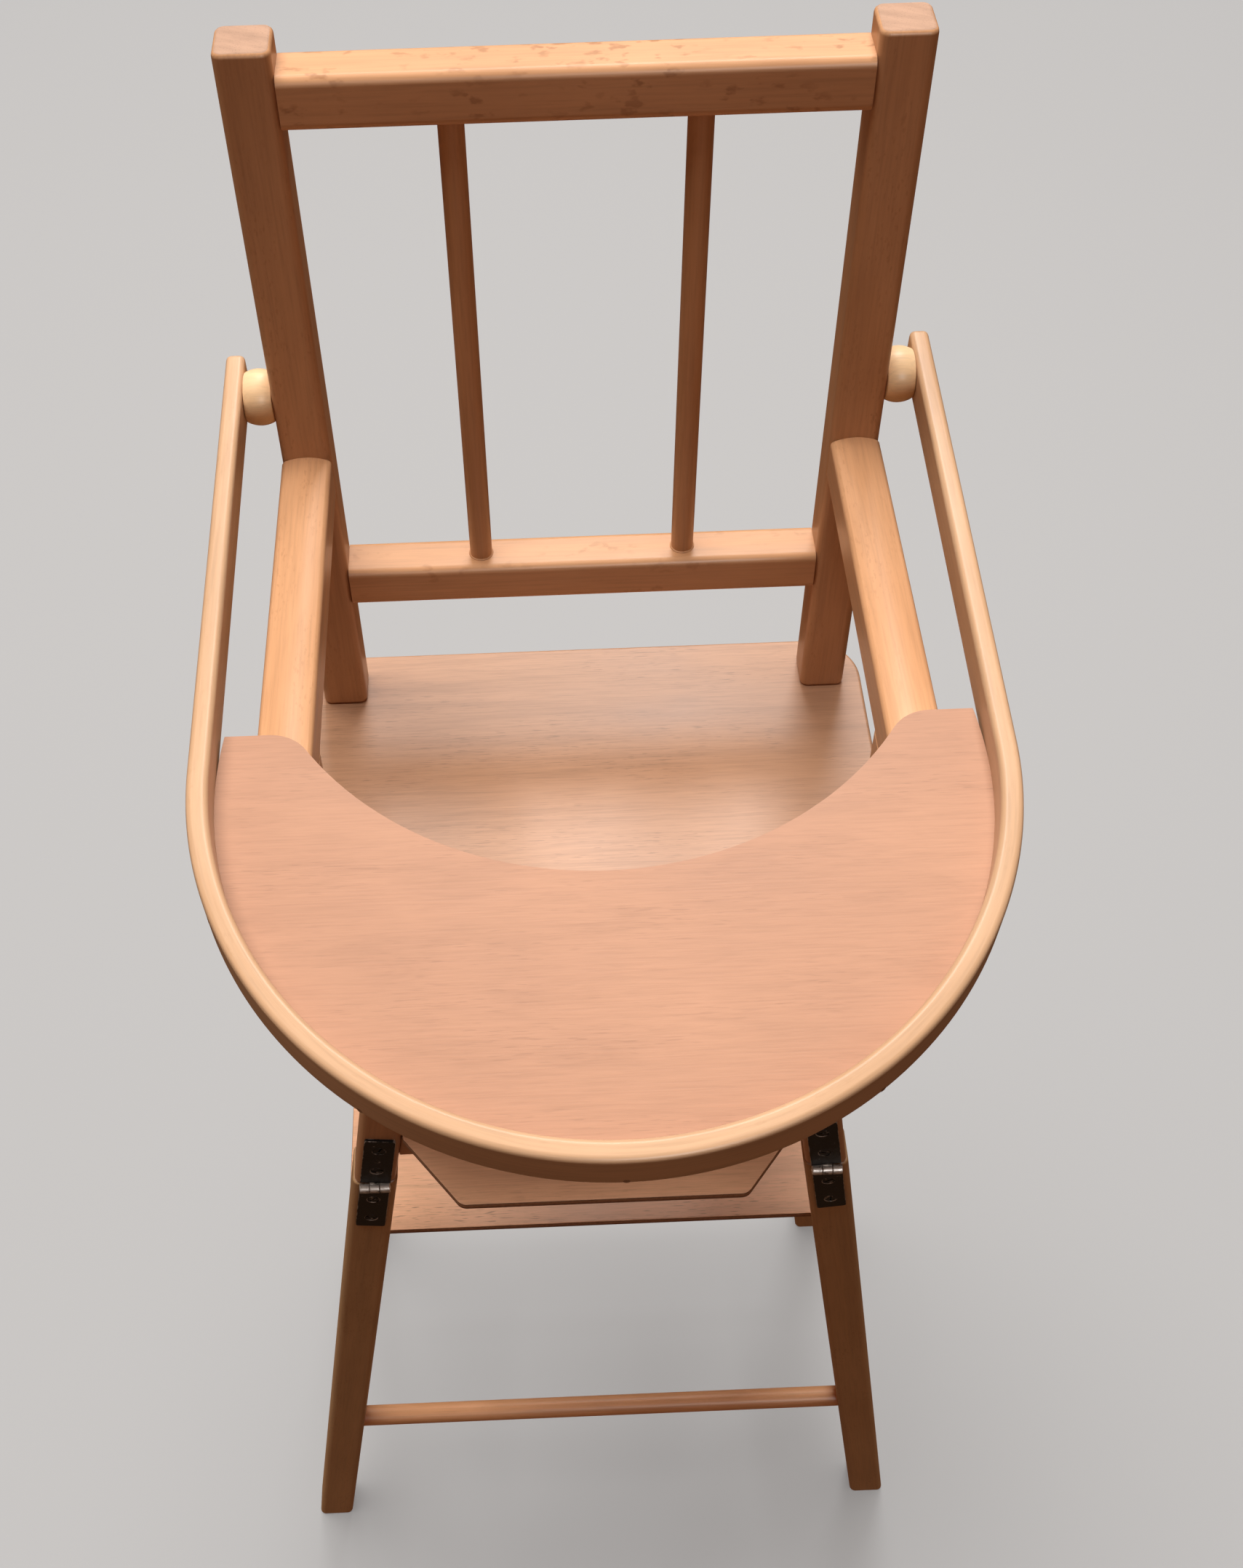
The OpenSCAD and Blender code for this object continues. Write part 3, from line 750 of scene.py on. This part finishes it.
def blackened_steel(name, seed, bare):
    """Blackened steel that is worn to grey in patches; bare is how far the wear has gone"""
    steel, tree, shader = new_finish(name)
    place = wire(tree, "ShaderNodeTexCoord").outputs["Object"]
    moved = wire(tree, "ShaderNodeMapping", ("Vector", place),
                 ("Location", (seed * 0.13, seed * 0.07, seed * 0.19))).outputs[0]
    wear = wire(tree, "ShaderNodeTexNoise", ("Vector", moved), ("Scale", 420.0),
                ("Detail", 4.0), ("Roughness", 0.65))
    grime = wire(tree, "ShaderNodeTexNoise", ("Vector", moved), ("Scale", 1400.0),
                 ("Detail", 2.0), ("Roughness", 0.6))
    worn = stepped(tree, wear.outputs["Fac"], (0.66 - 0.4 * bare, grey(0.0)),
                   (0.84 - 0.4 * bare, grey(1.0)))
    stain = stepped(tree, grime.outputs["Fac"], (0.35, (0.012, 0.013, 0.013, 1)),
                    (0.7, (0.026, 0.028, 0.027, 1)))
    tree.links.new(blend_in(tree, "MIX", worn, stain, (0.56, 0.53, 0.50, 1)),
                   shader.inputs["Base Color"])
    shader.inputs["Metallic"].default_value = 0.75
    sheen = wire(tree, "ShaderNodeMapRange", ("Value", grime.outputs["Fac"]),
                 ("From Min", 0.3), ("From Max", 0.7), ("To Min", 0.34), ("To Max", 0.55))
    tree.links.new(sheen.outputs["Result"], shader.inputs["Roughness"])
    raise_relief(tree, shader, grime.outputs["Fac"], 0.4, 0.00008)
    return steel


def cut_away(piece, *tools):
    """Each tool's shape is cut out of the piece"""
    for tool in tools:
        modify(piece, "BOOLEAN", operation="DIFFERENCE", solver="EXACT", object=tool)
        bpy.data.objects.remove(tool)


def join_all(parts, name):
    """Several parts become one piece"""
    hold(parts[0])
    for part in parts[1:]:
        part.select_set(True)
    bpy.ops.object.join()
    parts[0].name = name
    parts[0].data.name = name
    return parts[0]


def put(part, place, turn):
    """A part that was made round the origin goes to its place"""
    hold(part)
    part.location = place
    part.rotation_euler = turn
    bpy.ops.object.transform_apply(location=True, rotation=True, scale=True)


stand_joint = [j for j in frame["joints"] if j["name"] == "stand_fold"][0]
fold_height = stand_joint["pos_m"][2]
pin_y = stand_joint["pos_m"][1]
leg_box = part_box("right_front_stand_leg")
front_face = leg_box[0].y
leg_splay = math.atan2(leg_box[1].x - leg_box[0].x - STAND_BAR, leg_box[1].z - leg_box[0].z)
leaf_wide = 2 * (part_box("hinge_pins")[1].x - LEG_OFF_MIDDLE)
barrel_long = (leaf_wide - 2 * BARREL_GAP) / 3
steels = (blackened_steel("leaf_steel", 1, 0.05), blackened_steel("worn_edge_steel", 2, 0.60),
          blackened_steel("barrel_steel", 3, 0.85))
FLAT_STEEL, EDGE_STEEL, BARREL_STEEL = 0, 1, 2


def give_steels(part, pick_steel):
    """All three steels go on a part, and each face gets the one that is picked for it"""
    for steel in steels:
        part.data.materials.append(steel)
    for polygon in part.data.polygons:
        polygon.material_index = pick_steel(polygon)


for side, sign in (("left", -1), ("right", 1)):
    pivot = Vector((LEG_OFF_MIDDLE * sign, front_face, fold_height))
    for end, body, node in ((1, "chair", side + "_upper_hinge_leaf"),
                            (-1, "stand", side + "_lower_hinge_leaf")):
        plate = blank("leaf_plate", Vector((-leaf_wide / 2, -LEAF_THICK, LEAF_GAP)),
                      Vector((leaf_wide / 2, 0, LEAF_LONG)))
        if end < 0:
            plate.scale.z = -1
            hold(plate)
            bpy.ops.object.transform_apply(location=True, rotation=True, scale=True)
            pick(plate, "FACE", lambda f: True)
            bpy.ops.mesh.normals_make_consistent(inside=False)
            leave()
        round_edges(plate, lambda e: runs_along(Y)(e) and abs(e.verts[0].co.z) > LEAF_LONG - 1e-5,
                    LEAF_CORNER, 3)
        for place in SCREW_PLACES:
            punch = round_blank("punch", SCREW_HEAD + SCREW_PLAY, LEAF_THICK * 3,
                                (0, -LEAF_THICK / 2, end * place), (math.pi / 2, 0, 0), 32)
            cut_away(plate, punch)
        soften(plate, LEAF_SOFT, steps=2)
        give_steels(plate, lambda face: FLAT_STEEL if max(map(abs, face.normal)) > 0.97
                    else EDGE_STEEL)
        smooth(plate)
        put(plate, pivot, (0, -sign * leg_splay, 0))
        parts = [plate]
        for knuckle in ((0,) if end > 0 else (-1, 1)):
            barrel_x = pivot.x + knuckle * (barrel_long + BARREL_GAP)
            barrel = round_blank("barrel", BARREL_RADIUS, barrel_long,
                                 (barrel_x, pin_y, fold_height), (0, math.pi / 2, 0))
            soften(barrel, BARREL_SOFT, steps=2)
            web_low, web_high = sorted((fold_height, fold_height + end * WEB_LONG))
            web = blank("web", Vector((barrel_x - barrel_long / 2, front_face - LEAF_THICK,
                                       web_low)),
                        Vector((barrel_x + barrel_long / 2, front_face - WEB_SET_BACK,
                                web_high)))
            soften(web, WEB_SOFT, steps=2)
            for part in (barrel, web):
                give_steels(part, lambda face: BARREL_STEEL)
                smooth(part, 50)
                parts.append(part)
        fit(join_all(parts, node + "_plate"), None, body, "hinge_steel", node)

frame["nodes"]["hinge_pins"].data.materials.clear()
frame["nodes"]["hinge_pins"].data.materials.append(blackened_steel("pin_steel", 6, 0.5))

# ---- Hinge screws ----
# Small slotted countersunk screws, two in each leaf, driven a hair below flush. Their
# slots stand at odd angles, as a screwdriver left them.
HEAD_HIGH = 0.9 * LEAF_THICK
HEAD_DEPTH = 0.92 * LEAF_THICK
HEAD_DOME = 0.0003
SLOT_WIDE = 0.00045
SLOT_DEEP = 0.0005
SLOT_TURNS = {"left_upper": (0.3, 1.2), "right_upper": (-0.5, 0.2),
              "left_lower": (0.9, -0.4), "right_lower": (0.45, 1.4)}


def slotted_head(name, radius, high, dome, slot_turn):
    """A screw head that faces +Z from the origin, with a slot cut across it"""
    head = round_blank(name, radius, high, (0, 0, -high / 2))
    round_edges(head, lambda e: min(v.co.z for v in e.verts) > -1e-6, dome, 4)
    slot_tool = blank("slot_tool", Vector((-radius * 1.2, -SLOT_WIDE / 2, -SLOT_DEEP)),
                      Vector((radius * 1.2, SLOT_WIDE / 2, SLOT_DEEP)))
    put(slot_tool, (0, 0, 0), (0, 0, slot_turn))
    cut_away(head, slot_tool)
    return head


screw_steel = blackened_steel("screw_steel", 4, 0.22)
for level_name, end, body in (("upper", 1, "chair"), ("lower", -1, "stand")):
    heads = []
    for side, sign in (("left", -1), ("right", 1)):
        pivot = Vector((LEG_OFF_MIDDLE * sign, front_face, fold_height))
        for place, slot_turn in zip(SCREW_PLACES, SLOT_TURNS[side + "_" + level_name]):
            head = slotted_head("head", SCREW_HEAD, HEAD_HIGH, HEAD_DOME, slot_turn)
            put(head, (0, -HEAD_DEPTH, end * place), (math.pi / 2, 0, 0))
            put(head, pivot, (0, -sign * leg_splay, 0))
            heads.append(head)
    screws = join_all(heads, level_name + "_leaf_screws")
    smooth(screws, 35)
    fit(screws, screw_steel, body, "screw_steel", level_name + "_hinge_screws")

# ---- Beads ----
# A turned bead of pale wood sits on each pivot screw and keeps the tray's rim clear of the
# post. Its ends are cut flat, and it is lacquered a little glossier.
BEAD_WOOD = (0.93, 0.66, 0.39)
BEAD_SOFT = 0.0005
for seed, side in enumerate(("left", "right")):
    node = side + "_tray_bead"
    low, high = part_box(node)
    centre = (low + high) / 2
    bpy.ops.object.select_all(action="DESELECT")
    bpy.ops.mesh.primitive_uv_sphere_add(segments=48, ring_count=32,
                                         radius=(high.z - low.z) / 2, location=centre,
                                         rotation=(0, math.pi / 2, 0))
    bead = settle(side + "_bead")
    for face_x, outward in ((low.x, -1), (high.x, 1)):
        pick(bead, "VERT", lambda v: True)
        bpy.ops.mesh.bisect(plane_co=(face_x, 0, 0), plane_no=(outward, 0, 0),
                            clear_outer=True, use_fill=True)
        leave()
    soften(bead, BEAD_SOFT, steps=3, sharper_than=35)
    smooth(bead)
    fit(bead, beech(node + "_wood", GRAIN_ALONG[X], seed + 60, 1.0, flecks=0.1,
                    colour=BEAD_WOOD, coat=0.35), "chair", "bead_wood", node)

# ---- Tray pivot screws ----
# A slotted countersunk screw on each side goes through the rim and the bead into the
# post, its head just below the rim's outer face. The tray swings on the pair.
PIVOT_HEAD = 0.0030
PIVOT_HEAD_THICK = 0.0016
PIVOT_DOME = 0.0002
PIVOT_SHANK = 0.0012
PIVOT_BITE = 0.002
PIVOT_PLAY = 0.00008
low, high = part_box("tray_pivot_screws")
pivot_y = (low.y + high.y) / 2
pivot_z = (low.z + high.z) / 2
post_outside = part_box("right_back_post")[1].x
pivot_parts = []
for sign in (-1, 1):
    head = slotted_head("pivot_head", PIVOT_HEAD, PIVOT_HEAD_THICK, PIVOT_DOME, 0.7 * sign)
    pick(head, "VERT", lambda v: v.co.z < -PIVOT_HEAD_THICK + 1e-5)
    bpy.ops.transform.resize(value=(PIVOT_SHANK / PIVOT_HEAD, PIVOT_SHANK / PIVOT_HEAD, 1),
                             center_override=(0, 0, 0))
    leave()
    shank_long = high.x - post_outside + PIVOT_BITE
    shank = round_blank("pivot_shank", PIVOT_SHANK, shank_long,
                        (0, 0, -0.75 * PIVOT_HEAD_THICK - shank_long / 2), steps=24)
    screw = join_all([head, shank], "pivot_screw")
    put(screw, (sign * high.x, pivot_y, pivot_z), (0, sign * math.pi / 2, 0))
    pivot_parts.append(screw)
pivot_screws = join_all(pivot_parts, "pivot_screws")
smooth(pivot_screws, 35)
fit(pivot_screws, blackened_steel("pivot_screw_steel", 8, 0.7), "chair", "screw_steel",
    "tray_pivot_screws")

# ---- Tray rim ----
# One strip of beech, steamed and bent into a long U, with its edges rounded and its ends
# bored for the pivots. The grain follows the bend.
RIM_THICK = 0.0048
RIM_HIGH = 0.011
RIM_STRAIGHT = 0.117
RIM_NOSE = 0.0917
RIM_TAIL = 0.010
RIM_SEGMENTS = 240
RIM_EDGE = 0.0014
RIM_WOOD = (0.595, 0.375, 0.222)
BEND_STEPS = 720
REST_GAP = 0.00015
rim_half = (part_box("tray_rim")[1].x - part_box("tray_rim")[0].x) / 2
arm_low, arm_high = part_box("left_arm")
drop = pivot_z - arm_high.z
run = pivot_y - arm_low.y
tray_tilt = math.atan2(drop, run) - math.asin((RIM_HIGH / 2 + REST_GAP) / math.hypot(drop, run))


def lay_on_arms(piece):
    """A piece made level round the pivots is tipped until the tray rests on the arms"""
    put(piece, (0, pivot_y, pivot_z), (tray_tilt, 0, 0))


def half_oval(name, half, nose, fill, cut_at):
    """The front of an oval, cut off square behind"""
    bpy.ops.object.select_all(action="DESELECT")
    bpy.ops.mesh.primitive_circle_add(vertices=RIM_SEGMENTS, radius=1, fill_type=fill,
                                      location=(0, -RIM_STRAIGHT, 0))
    bpy.context.object.scale = (half, nose, 1)
    oval = settle(name)
    pick(oval, "VERT", lambda v: True)
    bpy.ops.mesh.bisect(plane_co=(0, cut_at, 0), plane_no=(0, 1, 0), clear_outer=True)
    leave()
    return oval


bend_half = rim_half - RIM_THICK / 2
bend_nose = RIM_NOSE - RIM_THICK / 2
rim = half_oval("tray_hoop", bend_half, bend_nose, "NOTHING", -RIM_STRAIGHT)
pick(rim, "VERT", lambda v: v.co.y > -RIM_STRAIGHT - 1e-6)
bpy.ops.mesh.extrude_vertices_move(
    TRANSFORM_OT_translate={"value": (0, RIM_STRAIGHT + RIM_TAIL, 0)})
leave()
pick(rim, "EDGE", lambda e: True)
bpy.ops.transform.translate(value=(0, 0, -RIM_HIGH / 2))
bpy.ops.mesh.extrude_edges_move(TRANSFORM_OT_translate={"value": (0, 0, RIM_HIGH)})
bpy.ops.mesh.select_all(action="SELECT")
bpy.ops.mesh.normals_make_consistent(inside=False)
leave()
modify(rim, "SOLIDIFY", thickness=RIM_THICK, offset=0, use_even_offset=True, use_rim=True)
soften(rim, RIM_EDGE, steps=4)


cut_away(rim, round_blank("pivot_drill", PIVOT_SHANK + PIVOT_PLAY, 3 * rim_half, (0, 0, 0),
                          (0, math.pi / 2, 0), 40))
for sign in (-1, 1):
    bpy.ops.object.select_all(action="DESELECT")
    bpy.ops.mesh.primitive_cone_add(
        vertices=48, radius1=PIVOT_SHANK, radius2=PIVOT_HEAD + 2 * PIVOT_PLAY,
        depth=PIVOT_HEAD_THICK + 2 * PIVOT_PLAY,
        location=(sign * (rim_half - PIVOT_HEAD_THICK / 2), 0, 0),
        rotation=(0, sign * math.pi / 2, 0))
    cut_away(rim, settle("countersink"))
pick(rim, "FACE", lambda f: True)
bpy.ops.mesh.normals_make_consistent(inside=False)
leave()
smooth(rim)

turns = [math.pi * step / BEND_STEPS for step in range(BEND_STEPS + 1)]
lengths = [0.0]
for before, after in zip(turns, turns[1:]):
    lengths.append(lengths[-1] + math.hypot(
        bend_half * (math.cos(after) - math.cos(before)),
        bend_nose * (math.sin(after) - math.sin(before))))
strip = rim.data.attributes.new("strip", "FLOAT_VECTOR", "POINT")
for vertex, spot in zip(rim.data.vertices, strip.data):
    beyond = vertex.co.y + RIM_STRAIGHT
    if beyond > 0:
        along = lengths[-1] + beyond if vertex.co.x < 0 else -beyond
        out = abs(vertex.co.x) - bend_half
    else:
        angle = math.atan2(-beyond / bend_nose, vertex.co.x / bend_half)
        along = lengths[min(BEND_STEPS, max(0, round(angle / math.pi * BEND_STEPS)))]
        out = (math.hypot(vertex.co.x / bend_half, beyond / bend_nose) - 1) * bend_half
    spot.vector = (along, out, vertex.co.z)
lay_on_arms(rim)
fit(rim, beech("rim_beech", (0, 0, 0), 70, 1.0, flecks=0.15, strip="strip", colour=RIM_WOOD,
               coat=0.35), "tray", "rim_wood", "tray_rim")

# ---- Tray board ----
# A thin veneered board let into the bottom of the rim and held by brads. Its rear edge is
# hollowed for the doll's body, and its two horns are rounded.
BOARD_THICK = 0.003
TRAY_VENEER = (0.560, 0.306, 0.195)
HORN_REACH = 0.1028
HOLLOW_RADIUS = 0.078
HOLLOW_DEPTH = 0.0382
HORN_ROUND = 0.010
HORN_CUT = 0.012
TRAY_SOFT = 0.0004
TOOL_HIGH = 0.05
oval_half = rim_half - RIM_THICK
oval_nose = RIM_NOSE - RIM_THICK
tray = half_oval("tray_ply", oval_half, oval_nose, "NGON", -HORN_REACH)
pick(tray, "VERT", lambda v: True)
bpy.ops.transform.translate(value=(0, 0, -RIM_HIGH / 2))
leave()
modify(tray, "SOLIDIFY", thickness=BOARD_THICK, offset=1)

hollow_y = HOLLOW_RADIUS - HORN_REACH - HOLLOW_DEPTH
horn_y = -HORN_REACH - HORN_ROUND
horn_x = math.sqrt((HOLLOW_RADIUS + HORN_ROUND) ** 2 - (horn_y - hollow_y) ** 2)
share = HOLLOW_RADIUS / (HOLLOW_RADIUS + HORN_ROUND)
meet_y = hollow_y + (horn_y - hollow_y) * share
cut_away(tray, round_blank("hollow_tool", HOLLOW_RADIUS, TOOL_HIGH, (0, hollow_y, 0),
                           steps=160))
for sign in (-1, 1):
    left_x, right_x = sorted((sign * (horn_x - HORN_CUT), sign * horn_x))
    corner_tool = blank("corner_tool", Vector((left_x, meet_y, -RIM_HIGH)),
                        Vector((right_x, meet_y + HORN_CUT, RIM_HIGH)))
    cut_away(corner_tool, round_blank("horn_tool", HORN_ROUND, TOOL_HIGH,
                                      (sign * horn_x, horn_y, 0), steps=72))
    cut_away(tray, corner_tool)
soften(tray, TRAY_SOFT, steps=2)
smooth(tray, 30)
face_and_edge(tray, veneer("tray_veneer", 80, 0.83, dashes=0.25, polish=0.1,
                           colour=TRAY_VENEER, figure_long=38, contrast=0.55),
              ply_edge("tray_edge", -0.01, 0.01))
lay_on_arms(tray)
fit(tray, None, "tray", "board_wood", "tray_board")

# ---- Brads ----
# Five fine steel brads go through the rim into the board's edge. Their heads are punched
# below the face and stopped with wood filler, which shows as a small dull dot.
BRAD_ANGLES = (20, 55, 90, 125, 160)
BRAD_RADIUS = 0.0006
BRAD_LONG = 0.008
BRAD_SUNK = 0.0004
FILLER_RADIUS = 0.0008
FILLER_LONG = 0.0006
FILLER_PROUD = 0.00004

filler = end_grain("brad_filler", 5, colour=(0.33, 0.20, 0.115))
brads = []
for angle in BRAD_ANGLES:
    heading = math.radians(angle)
    face_x = rim_half * math.cos(heading)
    face_y = -RIM_STRAIGHT - RIM_NOSE * math.sin(heading)
    inward = math.atan2(math.sin(heading) / RIM_NOSE, math.cos(heading) / rim_half)
    for radius, long, sunk in ((BRAD_RADIUS, BRAD_LONG, BRAD_SUNK),
                               (FILLER_RADIUS, FILLER_LONG, -FILLER_PROUD)):
        pin = round_blank("brad", radius, long, (0, 0, -long / 2 - sunk), steps=20)
        soften(pin, radius * 0.25, steps=2)
        put(pin, (face_x, face_y, -RIM_HIGH / 2 + BOARD_THICK / 2), (0, math.pi / 2, -inward))
        pin.data.materials.append(screw_steel if radius == BRAD_RADIUS else filler)
        brads.append(pin)
brad_set = join_all(brads, "tray_brad_set")
smooth(brad_set, 35)
lay_on_arms(brad_set)
fit(brad_set, None, "tray", "screw_steel", "tray_brads")
